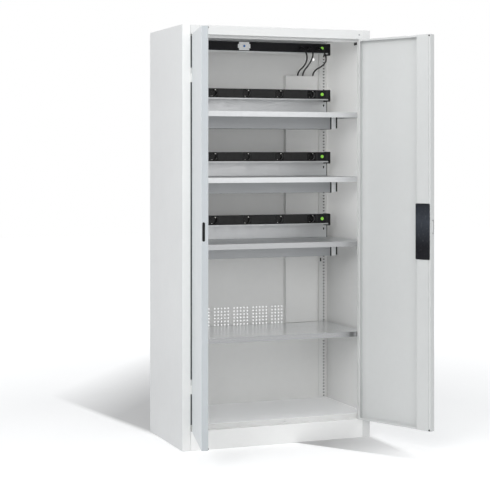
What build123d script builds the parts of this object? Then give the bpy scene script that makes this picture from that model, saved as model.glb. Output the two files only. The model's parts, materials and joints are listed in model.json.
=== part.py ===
from build123d import *
from math import cos, pi, radians, sin, sqrt, tan
import os

# Double-door charging cabinet, in mm, with +Z up and its front at -Y.
# The doors are drawn shut and then swung open to the angles of the rest pose.

# Body
BODY_W = 950.0
BODY_D = 500.0
BODY_H = 1950.0
SKIN_T = 1.2
BEND_R = 1.5
CORNER_R = 2.6
SEAT = 0.2
END_GAP = 0.5
WALL_GAP = 1.0
POST_W = 40.0
HEADER_H = 43.0
PLINTH_H = 88.0
STOP_LIP = 12.0
FLOOR_Z = 110.0
FLOOR_LAP = 8.0
REAR_FLANGE = 22.0
RETURN_W = 20.0
PLINTH_RETURN = 32.0

# Doors
DOOR_T = 30.0
DOOR_SKIN = 1.0
DOOR_LIP = 10.0
HINGE_GAP = 4.0
MEET_GAP = 3.0
DOOR_TOP_GAP = 2.0
DOOR_FOOT_GAP = 3.0
STOP_GAP = 2.8
LEFT_OPEN = 103.5
RIGHT_OPEN = 114.0
BUFFER_D = 7.0
BUFFER_T = 2.3
BUFFER_IN = 6.0

# Hinges
KNUCKLE_D = 7.0
HINGE_PIN_D = 4.0
PIN_RUN = 0.05
HINGE_PROUD = 3.0
HINGE_L = 66.0
BODY_KNUCKLE_L = 40.0
KNUCKLE_GAP = 0.3
HINGE_LEAF_T = 1.2
HINGE_LEAF_D = 24.0
LOWER_HINGE_Z = 260.0
UPPER_HINGE_DROP = 264.0

# Lock, rods and stiffeners
STIFF_IN = 79.0
STIFF_W = 68.0
LATCH_Z = 1025.0
LATCH_IN = 10.0
LATCH_H = 54.0
LATCH_T = 5.0
LATCH_L = 33.0
EDGE_SLOT_H = 62.0
EDGE_SLOT_W = 9.0
STRIKE_SLOT_H = 83.0
STRIKE_SLOT_W = 12.0
ROD_D = 8.0
ROD_TIP_IN = 2.0
ROD_IN_CASE = 25.0
ROD_HOLE_D = 10.0
BODY_ROD_HOLE_D = 12.0
SLIDE_RUN = 0.3
GUIDE_L = 12.0
GUIDE_W = 20.0
GUIDE_END = 100.0
GUIDE_STEP = 390.0
CASE_W = 54.0
CASE_H = 100.0
CASE_D = 22.0
SPINDLE_D = 9.0
SPINDLE_RUN = 0.1
COVER_W = 81.0
COVER_H = 257.0
COVER_DROP = 22.5
COVER_T = 2.0
COVER_R = 6.0
COVER_IN = 2.0
PLATE_W = 46.0
PLATE_L = 116.0
PLATE_T = 5.0
PLATE_RISE = 30.0
LEVER_L = 112.0
LEVER_W = 24.0
LEVER_T = 11.0
LEVER_OFF = 7.0
HUB_D = 20.0
CYLINDER_D = 18.0
CYLINDER_RISE = 62.0
CYLINDER_PROUD = 2.5
CYLINDER_DEPTH = 8.0
KEYWAY_W = 2.4
KEYWAY_L = 9.0
KEYWAY_DEPTH = 4.0

# Slotted supports
SUPPORT_W = 36.0
SUPPORT_D = 6.0
SUPPORT_T = 1.5
SUPPORT_IN = 12.0
SUPPORT_TOP_GAP = 60.0
SLOT_W = 9.0
SLOT_H = 4.6
SLOT_PITCH = 15.5
SLOT_OFF = 8.5
FIX_W = 7.0
FIX_H = 18.0
FIX_RISE = 313.0
FRONT_SUPPORT_IN = 46.0

# Shelves
TOP_SHELF_DROP = 392.0
SHELF_SLOTS = 20
CHARGE_SHELVES = 3
LOW_SHELF_RISE = 394.0
SHELF_T = 1.0
SHELF_H = 25.0
SHELF_RETURN = 14.0
SHELF_SIDE_GAP = 9.5
SHELF_FRONT_IN = 36.0
SHELF_REAR_GAP = 12.0
HOOK_W = 7.6
HOOK_T = 3.0
HOOK_REACH = 10.0
HOOK_PAST = 2.0

# Strip carriers
CARRIER_T = 1.5
CARRIER_W = 838.0
CARRIER_FOOT = 28.0
LEDGE_LIP = 6.0
KEYHOLE_D = 9.0
KEYHOLE_W = 5.0
KEYHOLE_DROP = 8.0
KEYHOLE_IN = 15.0
KEYHOLE_RISE = 45.0

# Socket strips
STRIP_L = 804.0
STRIP_H = 44.0
STRIP_D = 60.0
STRIP_Y = 75.0
STRIP_RISE = 97.0
TOP_STRIP_DROP = 65.0
STRIP_R = 2.0
CAP_L = 11.0
CAP_UP = 2.0
CAP_DOWN = 13.0
CAP_R = 6.0
SOCKET_PITCH = 172.0
SOCKET_OFF = -34.0
SOCKET_COUNT = 5
SOCKET_W = 44.0
SOCKET_H = 40.0
SOCKET_D = 22.0
WELL_D = 38.0
WELL_DEPTH = 15.0
CONTACT_D = 5.0
CONTACT_DEPTH = 5.0
CONTACT_PITCH = 19.0
SOCKET_TURN = 30.0
CLIP_W = 5.0
CLIP_L = 12.0
CLIP_T = 1.6
SWITCH_X = 368.0
SWITCH_D = 16.0
SWITCH_PROUD = 4.0
SWITCH_STEP = 2.5
SWITCH_L = 14.0
MODULE_X = -49.5
MODULE_W = 52.0
MODULE_H = 40.0
MODULE_T = 3.0
MODULE_TAB = 6.0
MODULE_TAB_H = 20.0
TEST_D = 7.0
TEST_PROUD = 2.0
TEST_STEP = 1.5
TEST_L = 8.0

# Troughs under the shelves
TROUGH_W = 698.0
TROUGH_Y = -65.0
TROUGH_D = 120.0
TROUGH_DROP = 79.0
TROUGH_LIP = 14.0
END_CAP_T = 6.4
END_CAP_GROW = 1.0
BRACKET_W = 23.0
BRACKET_RISE = 1.0
EDGE_T = 7.6
EDGE_D = 14.0
EDGE_RISE = 4.0

# Cable duct and cables
DUCT_SIDE_IN = 73.0
DUCT_W = 171.0
DUCT_D = 32.0
DUCT_RISE = 196.0
DUCT_FOOT_GAP = 11.0
DUCT_FLANGE = 12.0
NOTCH_GAP = 5.0
ENTRY_DROP = 14.0
ENTRY_T = 3.0
BOSS_D = 13.0
BOSS_H = 5.0
CABLE_D = 7.5
GLAND_D = 13.0
GLAND_L = 9.0
CABLE_X = (250.0, 291.0, 340.0)
ENTRY_IN = (100.0, 72.0, 16.0)

# Openings in the body
VENT_HOLE = 8.0
VENT_COLS = 5
VENT_ROWS = 6
VENT_DX = 17.8
VENT_DZ = 16.2
VENT_GROUPS = 5
VENT_PITCH = 102.4
VENT_RISE = 42.0
INLET_D = 15.0
INLET_SIDE_IN = 78.0
INLET_DROP = 109.0
LIP_HOLE_D = 6.0
LIP_HOLE_X = 43.0
LIP_HOLE_DROP = 13.0
PLUG_D = 5.0
PLUG_HEAD_D = 7.0
PLUG_HEAD_T = 1.0
PLUG_IN = 18.0
PLUG_DROP = 21.5
WALL_PLUG_L = 30.0
WALL_PLUG_H = 9.0
WALL_PLUG_RIM = 2.0
WALL_PLUG_BACK = 158.0
WALL_PLUG_DROP = 52.0

# Places worked out from the sizes
HALF_W = BODY_W / 2
FRONT = -BODY_D / 2
REAR = BODY_D / 2
OPEN_X = HALF_W - POST_W
OPEN_TOP = BODY_H - HEADER_H
STOP_Y = FRONT + DOOR_T + STOP_GAP
STOP_X = OPEN_X - STOP_LIP
ROOF_UNDER = BODY_H - SKIN_T
WALL_X = HALF_W - SKIN_T
INNER_X = WALL_X - SEAT
WALL_REAR = REAR - SKIN_T - SEAT
WALL_FRONT = WALL_REAR - SKIN_T
AXIS_X = OPEN_X - HINGE_GAP / 2
AXIS_Y = FRONT - HINGE_PROUD
EDGE_X = MEET_GAP / 2
LEAF_X = OPEN_X - HINGE_GAP
LEAF_Z0 = PLINTH_H + DOOR_FOOT_GAP
LEAF_Z1 = OPEN_TOP - DOOR_TOP_GAP
LEAF_IN = FRONT + DOOR_T
LOCK_X = EDGE_X + STIFF_IN - STIFF_W / 2
ROD_Y = FRONT + DOOR_T / 2
LATCH_Y = FRONT + LATCH_IN
HINGE_Z = (LOWER_HINGE_Z, BODY_H - UPPER_HINGE_DROP)
GUIDE_Z = (LEAF_Z0 + GUIDE_END, LATCH_Z - GUIDE_STEP, LATCH_Z + GUIDE_STEP, LEAF_Z1 - GUIDE_END)
COVER_Z = LATCH_Z - COVER_DROP

# Shelf levels, which keep to the slots of the supports
LOW_SHELF_Z = FLOOR_Z + LOW_SHELF_RISE
TOP_SHELF_SLOT = round((BODY_H - TOP_SHELF_DROP - LOW_SHELF_Z) / SLOT_PITCH)
SHELF_TOPS = [
    LOW_SHELF_Z + (TOP_SHELF_SLOT - i * SHELF_SLOTS) * SLOT_PITCH for i in range(CHARGE_SHELVES)
]
SHELF_TOPS.append(LOW_SHELF_Z)
FIX_Z = LOW_SHELF_Z + FIX_RISE

# Places of the duct, the openings and the plugs
DUCT_R_X = HALF_W - DUCT_SIDE_IN
DUCT_L_X = DUCT_R_X - DUCT_W
DUCT_TOP = SHELF_TOPS[0] + DUCT_RISE
ENTRY_X = [DUCT_R_X - inward for inward in ENTRY_IN]
VENT_Z = LOW_SHELF_Z + VENT_RISE
INLET_X = HALF_W - INLET_SIDE_IN
INLET_Z = BODY_H - INLET_DROP
PLUG_X = OPEN_X - PLUG_IN
PLUG_Z = BODY_H - PLUG_DROP
WALL_PLUG_Y = FRONT + WALL_PLUG_BACK
WALL_PLUG_Z = BODY_H - WALL_PLUG_DROP


def block(x0, x1, y0, y1, z0, z1, mode=Mode.ADD):
    """Box between two corners, in the part being built."""
    with Locations(((x0 + x1) / 2, (y0 + y1) / 2, (z0 + z1) / 2)):
        Box(abs(x1 - x0), abs(y1 - y0), abs(z1 - z0), mode=mode)


def bar(start, end, diameter, mode=Mode.ADD):
    """Round bar between two points."""
    axis = Vector(*end) - Vector(*start)
    with BuildSketch(Plane(start, z_dir=axis)) as disc:
        Circle(diameter / 2)
    extrude(disc.sketch, amount=axis.length, mode=mode)


def fold(plane, length, points, thick=SKIN_T, radius=BEND_R):
    """Bent sheet from the centreline of its folds, drawn on a plane."""
    with BuildSketch(plane) as section:
        with BuildLine():
            FilletPolyline(*points, radius=radius)
        trace(line_width=thick)
    extrude(section.sketch, amount=length)


def save(part, name):
    """Label a finished piece and write its STEP file."""
    part.label = name
    export_step(part, "parts/" + name + ".step")


def swing_left(part):
    """Open a piece of the shut left door."""
    return part.rotate(Axis((-AXIS_X, AXIS_Y, 0), (0, 0, 1)), -LEFT_OPEN)


def swing_right(part):
    """Open a piece of the shut right door."""
    return part.rotate(Axis((AXIS_X, AXIS_Y, 0), (0, 0, 1)), RIGHT_OPEN)


os.makedirs("parts", exist_ok=True)

# Side panels: rear flange, skin, front post, jamb and stop lip from one folded sheet
side_path = [
    (-HALF_W + REAR_FLANGE, REAR - SKIN_T / 2),
    (-HALF_W + SKIN_T / 2, REAR - SKIN_T / 2),
    (-HALF_W + SKIN_T / 2, FRONT + SKIN_T / 2),
    (-OPEN_X - SKIN_T / 2, FRONT + SKIN_T / 2),
    (-OPEN_X - SKIN_T / 2, STOP_Y + SKIN_T / 2),
    (-STOP_X, STOP_Y + SKIN_T / 2),
]
with BuildPart() as left_side:
    fold(Plane.XY, BODY_H, side_path, radius=(BEND_R, CORNER_R, BEND_R, BEND_R))
    block(
        -WALL_X, -STOP_X + 1, FRONT + SKIN_T, REAR - SKIN_T, ROOF_UNDER - SEAT, BODY_H, Mode.SUBTRACT
    )
save(left_side.part, "left_side")

with BuildPart() as right_side:
    add(mirror(left_side.part, about=Plane.YZ, mode=Mode.PRIVATE))
    with Locations((WALL_X + SKIN_T / 2, WALL_PLUG_Y, WALL_PLUG_Z)):
        Box(2 * SKIN_T, WALL_PLUG_L, WALL_PLUG_H, mode=Mode.SUBTRACT)
save(right_side.part, "right_side")

# Roof with the header fascia, its return and the upper door stop
roof_path = [
    (0, BODY_H - SKIN_T / 2),
    (FRONT + SKIN_T / 2, BODY_H - SKIN_T / 2),
    (FRONT + SKIN_T / 2, OPEN_TOP + SKIN_T / 2),
    (STOP_Y + SKIN_T / 2, OPEN_TOP + SKIN_T / 2),
    (STOP_Y + SKIN_T / 2, OPEN_TOP - STOP_LIP),
]
roof_front = FRONT + SKIN_T + SEAT
with BuildPart() as roof:
    fold(Plane.YZ.offset(-OPEN_X + END_GAP), 2 * (OPEN_X - END_GAP), roof_path)
    block(-INNER_X, INNER_X, roof_front, WALL_REAR, ROOF_UNDER, BODY_H)
    for s in (-1, 1):
        block(
            s * (INNER_X - SKIN_T), s * INNER_X, STOP_Y + SKIN_T + SEAT, WALL_FRONT - SEAT,
            ROOF_UNDER - RETURN_W, BODY_H,
        )
        block(
            s * (STOP_X - SEAT), s * OPEN_X, STOP_Y - SEAT, STOP_Y + 2 * SKIN_T,
            OPEN_TOP - STOP_LIP, OPEN_TOP + 2 * SKIN_T, Mode.SUBTRACT,
        )
    bar(
        (LOCK_X, ROD_Y, OPEN_TOP - 1), (LOCK_X, ROD_Y, OPEN_TOP + 2 * SKIN_T),
        BODY_ROD_HOLE_D, Mode.SUBTRACT,
    )
    bar(
        (PLUG_X, FRONT - 1, PLUG_Z), (PLUG_X, FRONT + 2 * SKIN_T, PLUG_Z),
        PLUG_D + 2 * SEAT, Mode.SUBTRACT,
    )
save(roof.part, "roof")

# Rear wall with groups of ventilation holes and the cable inlet
with BuildPart() as rear_wall:
    with BuildSketch(Plane.XZ.offset(-WALL_REAR)):
        with Locations((0, (ROOF_UNDER - SEAT) / 2)):
            Rectangle(2 * (INNER_X - WALL_GAP), ROOF_UNDER - SEAT)
        with Locations((0, VENT_Z)):
            with GridLocations(VENT_PITCH, 1, VENT_GROUPS, 1):
                with GridLocations(VENT_DX, VENT_DZ, VENT_COLS, VENT_ROWS):
                    Rectangle(VENT_HOLE, VENT_HOLE, mode=Mode.SUBTRACT)
        with Locations((INLET_X, INLET_Z)):
            Circle(INLET_D / 2, mode=Mode.SUBTRACT)
    extrude(amount=SKIN_T)
save(rear_wall.part, "rear_wall")

# Floor tray, whose front lip is the lower door stop
floor_path = [
    (0, FLOOR_Z - SKIN_T / 2),
    (STOP_Y + SKIN_T / 2, FLOOR_Z - SKIN_T / 2),
    (STOP_Y + SKIN_T / 2, PLINTH_H - FLOOR_LAP),
]
floor_back = WALL_FRONT - SEAT
lip_hole_z = FLOOR_Z - LIP_HOLE_DROP
with BuildPart() as floor:
    fold(Plane.YZ.offset(-STOP_X + SEAT), 2 * (STOP_X - SEAT), floor_path)
    block(-INNER_X, INNER_X, STOP_Y + SKIN_T + SEAT, floor_back, FLOOR_Z - SKIN_T, FLOOR_Z)
    for s in (-1, 1):
        block(
            s * (INNER_X - SKIN_T), s * INNER_X, STOP_Y + SKIN_T + SEAT, floor_back,
            FLOOR_Z - RETURN_W, FLOOR_Z,
        )
    block(-INNER_X, INNER_X, floor_back - SKIN_T, floor_back, FLOOR_Z - RETURN_W, FLOOR_Z)
    bar(
        (LIP_HOLE_X, STOP_Y - 1, lip_hole_z), (LIP_HOLE_X, STOP_Y + 2 * SKIN_T, lip_hole_z),
        LIP_HOLE_D, Mode.SUBTRACT,
    )
save(floor.part, "floor")

# Plinth with its top and bottom returns
plinth_back = STOP_Y - SEAT - SKIN_T / 2
plinth_path = [
    (plinth_back, PLINTH_H - RETURN_W),
    (plinth_back, PLINTH_H - SKIN_T / 2),
    (FRONT + SKIN_T / 2, PLINTH_H - SKIN_T / 2),
    (FRONT + SKIN_T / 2, SKIN_T / 2),
    (FRONT + PLINTH_RETURN, SKIN_T / 2),
]
with BuildPart() as plinth:
    fold(Plane.YZ.offset(-OPEN_X + END_GAP), 2 * (OPEN_X - END_GAP), plinth_path)
    bar(
        (LOCK_X, ROD_Y, PLINTH_H - 2 * SKIN_T), (LOCK_X, ROD_Y, PLINTH_H + 1),
        BODY_ROD_HOLE_D, Mode.SUBTRACT,
    )
save(plinth.part, "plinth")

# Slotted shelf supports: two on the rear wall, two on the side walls
hook_levels = [top - SHELF_H - SEAT - HOOK_T / 2 for top in SHELF_TOPS]
support_z0 = FLOOR_Z + SEAT
support_z1 = BODY_H - SUPPORT_TOP_GAP
support_mid = (support_z0 + support_z1) / 2
slots_below = int((hook_levels[-1] - support_z0 - SLOT_H) / SLOT_PITCH)
slots_above = int((support_z1 - hook_levels[-1] - SLOT_H) / SLOT_PITCH)
slot_levels = [hook_levels[-1] + i * SLOT_PITCH for i in range(-slots_below, slots_above + 1)]
rear_support_x = INNER_X - SUPPORT_IN - SUPPORT_W / 2
rear_slot_x = rear_support_x + SLOT_OFF
support_face = WALL_FRONT - SEAT - SUPPORT_D
flange_off = (SUPPORT_W - SUPPORT_T) / 2
with BuildPart() as rear_supports:
    with BuildSketch(Plane.XZ.offset(-support_face)):
        with Locations((-rear_support_x, support_mid), (rear_support_x, support_mid)):
            Rectangle(SUPPORT_W, support_z1 - support_z0)
        with Locations(*[(s * rear_slot_x, z) for s in (-1, 1) for z in slot_levels]):
            Rectangle(SLOT_W, SLOT_H, mode=Mode.SUBTRACT)
        with Locations(*[(s * (rear_support_x - SLOT_OFF), FIX_Z) for s in (-1, 1)]):
            Rectangle(FIX_W, FIX_H, mode=Mode.SUBTRACT)
    extrude(amount=-SUPPORT_T)
    flange_x = [rear_support_x - flange_off, rear_support_x + flange_off]
    flange_y = support_face + SUPPORT_D / 2
    with Locations(*[(s * x, flange_y, support_mid) for s in (-1, 1) for x in flange_x]):
        Box(SUPPORT_T, SUPPORT_D, support_z1 - support_z0)
save(rear_supports.part, "rear_supports")

front_support_y = STOP_Y + FRONT_SUPPORT_IN
side_face = INNER_X - SUPPORT_D
with BuildPart() as front_support:
    with BuildSketch(Plane.YZ.offset(side_face)):
        with Locations((front_support_y, support_mid)):
            Rectangle(SUPPORT_W, support_z1 - support_z0)
        with Locations(*[(front_support_y, z) for z in hook_levels]):
            Rectangle(SLOT_W, SLOT_H, mode=Mode.SUBTRACT)
    extrude(amount=SUPPORT_T)
    side_x = side_face + SUPPORT_D / 2
    with Locations(*[(side_x, front_support_y + s * flange_off, support_mid) for s in (-1, 1)]):
        Box(SUPPORT_D, SUPPORT_T, support_z1 - support_z0)
with BuildPart() as front_supports:
    add(front_support.part)
    mirror(about=Plane.YZ)
save(front_supports.part, "front_supports")

# Shelf trays with four down flanges and a return behind the front edge
shelf_x = INNER_X - SHELF_SIDE_GAP
shelf_front = FRONT + SHELF_FRONT_IN
shelf_rear = WALL_FRONT - SHELF_REAR_GAP
duct_rear = WALL_FRONT - SEAT
duct_front = duct_rear - DUCT_D
for i, top in enumerate(SHELF_TOPS):
    with BuildPart() as shelf:
        block(-shelf_x, shelf_x, shelf_front, shelf_rear, top - SHELF_H, top)
        upper_edges = shelf.faces().sort_by(Axis.Z)[-1].edges()
        fillet(upper_edges.sort_by(Axis.Y)[0], radius=BEND_R)
        block(
            -shelf_x + SHELF_T, shelf_x - SHELF_T, shelf_front + SHELF_T, shelf_rear - SHELF_T,
            top - SHELF_H, top - SHELF_T, Mode.SUBTRACT,
        )
        block(
            -shelf_x, shelf_x, shelf_front, shelf_front + SHELF_RETURN, top - SHELF_H,
            top - SHELF_H + SHELF_T,
        )
        if DUCT_TOP > top > SHELF_TOPS[-1]:
            block(
                DUCT_L_X - NOTCH_GAP, DUCT_R_X + NOTCH_GAP, duct_front - NOTCH_GAP, shelf_rear,
                top - SHELF_H, top, Mode.SUBTRACT,
            )
    save(shelf.part, "shelf_" + str(i + 1))

# Hooks that hang in the slots and carry the shelves
side_hook_x0 = shelf_x - HOOK_REACH
side_hook_x1 = side_face + SUPPORT_T + HOOK_PAST
side_hook_x = (side_hook_x0 + side_hook_x1) / 2
rear_hook_y0 = shelf_rear - HOOK_REACH
rear_hook_y1 = support_face + SUPPORT_T + HOOK_PAST
rear_hook_y = (rear_hook_y0 + rear_hook_y1) / 2
with BuildPart() as shelf_hooks:
    with Locations(*[(s * rear_slot_x, rear_hook_y, z) for s in (-1, 1) for z in hook_levels]):
        Box(HOOK_W, rear_hook_y1 - rear_hook_y0, HOOK_T)
    with Locations(*[(s * side_hook_x, front_support_y, z) for s in (-1, 1) for z in hook_levels]):
        Box(side_hook_x1 - side_hook_x0, HOOK_W, HOOK_T)
save(shelf_hooks.part, "shelf_hooks")

# Strip carriers: a foot, an upright and a ledge with a lip
strip_levels = [BODY_H - TOP_STRIP_DROP] + [top + STRIP_RISE for top in SHELF_TOPS[:-1]]
strip_back = STRIP_Y + STRIP_D
upright_y = strip_back + SEAT + CARRIER_T / 2
lip_y = STRIP_Y + CARRIER_T / 2


def carrier_sheet(foot, ledge):
    """Carrier from its foot level to the ledge under a strip."""
    path = [
        (upright_y + CARRIER_FOOT, foot),
        (upright_y, foot),
        (upright_y, ledge),
        (lip_y, ledge),
        (lip_y, ledge - LEDGE_LIP),
    ]
    fold(Plane.YZ.offset(-CARRIER_W / 2), CARRIER_W, path, CARRIER_T)
    for s in (-1, 1):
        block(
            s * STRIP_L / 2, s * CARRIER_W / 2, STRIP_Y, strip_back + SEAT, ledge - LEDGE_LIP,
            ledge + BEND_R + CARRIER_T, Mode.SUBTRACT,
        )


for i, top in enumerate(SHELF_TOPS[:-1]):
    key_z = top + KEYHOLE_RISE
    with BuildPart() as carrier:
        carrier_sheet(top + SEAT + CARRIER_T / 2, strip_levels[i + 1] - STRIP_H / 2 - SEAT - CARRIER_T / 2)
        with BuildSketch(Plane.XZ.offset(-upright_y)):
            for s in (-1, 1):
                with Locations((s * (CARRIER_W / 2 - KEYHOLE_IN), key_z)):
                    Circle(KEYHOLE_D / 2)
                with Locations((s * (CARRIER_W / 2 - KEYHOLE_IN), key_z - KEYHOLE_DROP / 2)):
                    Rectangle(KEYHOLE_W, KEYHOLE_DROP)
        extrude(amount=CARRIER_T, both=True, mode=Mode.SUBTRACT)
    save(carrier.part, "carrier_" + str(i + 1))

with BuildPart() as carrier_top:
    carrier_sheet(ROOF_UNDER - SEAT - CARRIER_T / 2, strip_levels[0] - STRIP_H / 2 - SEAT - CARRIER_T / 2)
save(carrier_top.part, "carrier_top")

# Strip housings with pockets for sockets and switches
socket_x = [SOCKET_OFF + (k - (SOCKET_COUNT - 1) / 2) * SOCKET_PITCH for k in range(SOCKET_COUNT)]
switch_bore_y = STRIP_Y + SWITCH_L + SWITCH_STEP
for i, z in enumerate(strip_levels):
    with BuildPart() as strip:
        block(-STRIP_L / 2, STRIP_L / 2, STRIP_Y, strip_back, z - STRIP_H / 2, z + STRIP_H / 2)
        fillet(strip.edges().filter_by(Axis.X), radius=STRIP_R)
        bar(
            (SWITCH_X, STRIP_Y, z), (SWITCH_X, switch_bore_y, z), SWITCH_D + 2 * SLIDE_RUN, Mode.SUBTRACT
        )
        if i == 0:
            bar(
                (MODULE_X, STRIP_Y, z), (MODULE_X, STRIP_Y + TEST_L + TEST_STEP, z),
                TEST_D + 2 * SLIDE_RUN, Mode.SUBTRACT,
            )
        else:
            with Locations(*[(x, STRIP_Y + (SOCKET_D + SEAT) / 2, z) for x in socket_x]):
                Box(SOCKET_W + 2 * SEAT, SOCKET_D + SEAT, SOCKET_H + 2 * SEAT, mode=Mode.SUBTRACT)
    save(strip.part, "strip_" + str(i + 1))

# End caps, taller than the housings and reaching below their ledges
cap_x0 = STRIP_L / 2 + SEAT
with BuildPart() as right_caps:
    for z in strip_levels:
        block(
            cap_x0, cap_x0 + CAP_L, STRIP_Y - CAP_UP, strip_back, z - STRIP_H / 2 - CAP_DOWN,
            z + STRIP_H / 2 + CAP_UP,
        )
    fillet(right_caps.edges().filter_by(Axis.X).group_by(Axis.Y)[0], radius=CAP_R)
with BuildPart() as strip_caps:
    add(right_caps.part)
    mirror(about=Plane.YZ)
save(strip_caps.part, "strip_caps")

# Socket inserts with a round well and two contact holes
with BuildPart() as socket_insert:
    block(-SOCKET_W / 2, SOCKET_W / 2, 0, SOCKET_D, -SOCKET_H / 2, SOCKET_H / 2)
    bar((0, 0, 0), (0, WELL_DEPTH, 0), WELL_D, Mode.SUBTRACT)
    for s in (-1, 1):
        hole_x = s * CONTACT_PITCH / 2 * cos(radians(SOCKET_TURN))
        hole_z = -s * CONTACT_PITCH / 2 * sin(radians(SOCKET_TURN))
        bar(
            (hole_x, WELL_DEPTH, hole_z), (hole_x, WELL_DEPTH + CONTACT_DEPTH, hole_z), CONTACT_D,
            Mode.SUBTRACT,
        )
socket_places = [(x, STRIP_Y, z) for z in strip_levels[1:] for x in socket_x]
with BuildPart() as sockets:
    with Locations(*socket_places):
        add(socket_insert.part)
save(sockets.part, "sockets")

# Earth clips on opposite sides of each well
clip_r = sqrt((WELL_D / 2 - SEAT) ** 2 - (CLIP_W / 2) ** 2) - CLIP_T / 2
clip_y = WELL_DEPTH - SEAT - CLIP_L / 2
with BuildPart() as clip_pair:
    for turn in (90 - SOCKET_TURN, 270 - SOCKET_TURN):
        clip_x = clip_r * cos(radians(turn))
        clip_z = clip_r * sin(radians(turn))
        with Locations(Location((clip_x, clip_y, clip_z), (0, -turn, 0))):
            Box(CLIP_T, CLIP_L, CLIP_W)
with BuildPart() as earth_clips:
    with Locations(*socket_places):
        add(clip_pair.part)
save(earth_clips.part, "earth_clips")

# Illuminated push switches, one on each strip
for i, z in enumerate(strip_levels):
    with BuildPart() as switch:
        bar((SWITCH_X, STRIP_Y - SWITCH_PROUD, z), (SWITCH_X, STRIP_Y + SWITCH_L, z), SWITCH_D)
        fillet(switch.edges().filter_by(GeomType.CIRCLE).sort_by(Axis.Y)[0], radius=BEND_R)
    save(switch.part, "switch_" + str(i + 1))

# Protection module with its test button, on the top strip
top_z = strip_levels[0]
strip_skin = STRIP_Y - SEAT
module_face = strip_skin - MODULE_T
with BuildPart() as protection_module:
    with BuildSketch(Plane.XZ.offset(-strip_skin)):
        with Locations((MODULE_X, top_z)):
            Rectangle(MODULE_W, MODULE_H)
            Rectangle(MODULE_W + 2 * MODULE_TAB, MODULE_TAB_H)
            Circle(TEST_D / 2 + SLIDE_RUN, mode=Mode.SUBTRACT)
    extrude(amount=MODULE_T)
save(protection_module.part, "protection_module")

with BuildPart() as test_button:
    bar((MODULE_X, module_face - TEST_PROUD, top_z), (MODULE_X, STRIP_Y + TEST_L, top_z), TEST_D)
save(test_button.part, "test_button")

# Troughs under the three charging shelves
near = TROUGH_Y + SKIN_T / 2
far = TROUGH_Y + TROUGH_D - SKIN_T / 2
with BuildPart() as troughs:
    for top in SHELF_TOPS[:-1]:
        upper = top - SHELF_T - SEAT - SKIN_T / 2
        lower = top - TROUGH_DROP + SKIN_T / 2
        trough_path = [
            (near + TROUGH_LIP, upper),
            (near, upper),
            (near, lower),
            (far, lower),
            (far, upper),
            (far - TROUGH_LIP, upper),
        ]
        fold(Plane.YZ.offset(-TROUGH_W / 2), TROUGH_W, trough_path)
save(troughs.part, "troughs")

# End caps of the troughs, hanger brackets beside them and their edge strips
end_x0 = TROUGH_W / 2 + SEAT
bracket_x0 = end_x0 + END_CAP_T + SEAT
bracket_x1 = bracket_x0 + BRACKET_W
edge_x0 = bracket_x1 + SEAT
trough_front = TROUGH_Y - END_CAP_GROW
trough_rear = TROUGH_Y + TROUGH_D + END_CAP_GROW
hanger_path = [
    (bracket_x1, trough_front + SKIN_T / 2),
    (bracket_x0 + SKIN_T / 2, trough_front + SKIN_T / 2),
    (bracket_x0 + SKIN_T / 2, trough_rear - SKIN_T / 2),
    (bracket_x1, trough_rear - SKIN_T / 2),
]
with BuildPart() as right_ends:
    for top in SHELF_TOPS[:-1]:
        under = top - SHELF_T - SEAT
        foot = top - TROUGH_DROP
        block(end_x0, end_x0 + END_CAP_T, trough_front, trough_rear, foot - END_CAP_GROW, under)
        block(edge_x0, edge_x0 + EDGE_T, trough_front, trough_front + EDGE_D, foot + EDGE_RISE, under)
with BuildPart() as trough_ends:
    add(right_ends.part)
    mirror(about=Plane.YZ)
save(trough_ends.part, "trough_ends")

with BuildPart() as right_hangers:
    for top in SHELF_TOPS[:-1]:
        foot = top - TROUGH_DROP + BRACKET_RISE
        fold(Plane.XY.offset(foot), top - SHELF_T - SEAT - foot, hanger_path)
with BuildPart() as trough_hangers:
    add(right_hangers.part)
    mirror(about=Plane.YZ)
save(trough_hangers.part, "trough_hangers")

# Cable duct on the rear wall
duct_foot = SHELF_TOPS[-1] + DUCT_FOOT_GAP
duct_path = [
    (DUCT_L_X + DUCT_FLANGE, duct_rear - SKIN_T / 2),
    (DUCT_L_X + SKIN_T / 2, duct_rear - SKIN_T / 2),
    (DUCT_L_X + SKIN_T / 2, duct_front + SKIN_T / 2),
    (DUCT_R_X - SKIN_T / 2, duct_front + SKIN_T / 2),
    (DUCT_R_X - SKIN_T / 2, duct_rear - SKIN_T / 2),
    (DUCT_R_X - DUCT_FLANGE, duct_rear - SKIN_T / 2),
]
with BuildPart() as cable_duct:
    fold(Plane.XY.offset(duct_foot), DUCT_TOP - duct_foot, duct_path)
save(cable_duct.part, "cable_duct")

# Entry plate in the top of the duct, with a boss for each cable
entry_top = DUCT_TOP - ENTRY_DROP
entry_y0 = duct_front + SKIN_T + SEAT
entry_y1 = duct_rear - SKIN_T - SEAT
entry_y = (entry_y0 + entry_y1) / 2
boss_top = entry_top + BOSS_H
entry_x0 = DUCT_L_X + SKIN_T + SEAT
entry_x1 = DUCT_R_X - SKIN_T - SEAT
with BuildPart() as duct_entry:
    block(entry_x0, entry_x1, entry_y0, entry_y1, entry_top - ENTRY_T, entry_top)
    fillet(duct_entry.edges().filter_by(Axis.Z), radius=BEND_R)
    for x in ENTRY_X:
        bar((x, entry_y, entry_top), (x, entry_y, boss_top), BOSS_D)
save(duct_entry.part, "duct_entry")

# Glands on the front of the top strip
gland_face = strip_skin - GLAND_L
with BuildPart() as cable_glands:
    for x in CABLE_X:
        bar((x, gland_face, top_z), (x, strip_skin, top_z), GLAND_D)
save(cable_glands.part, "cable_glands")

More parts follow.
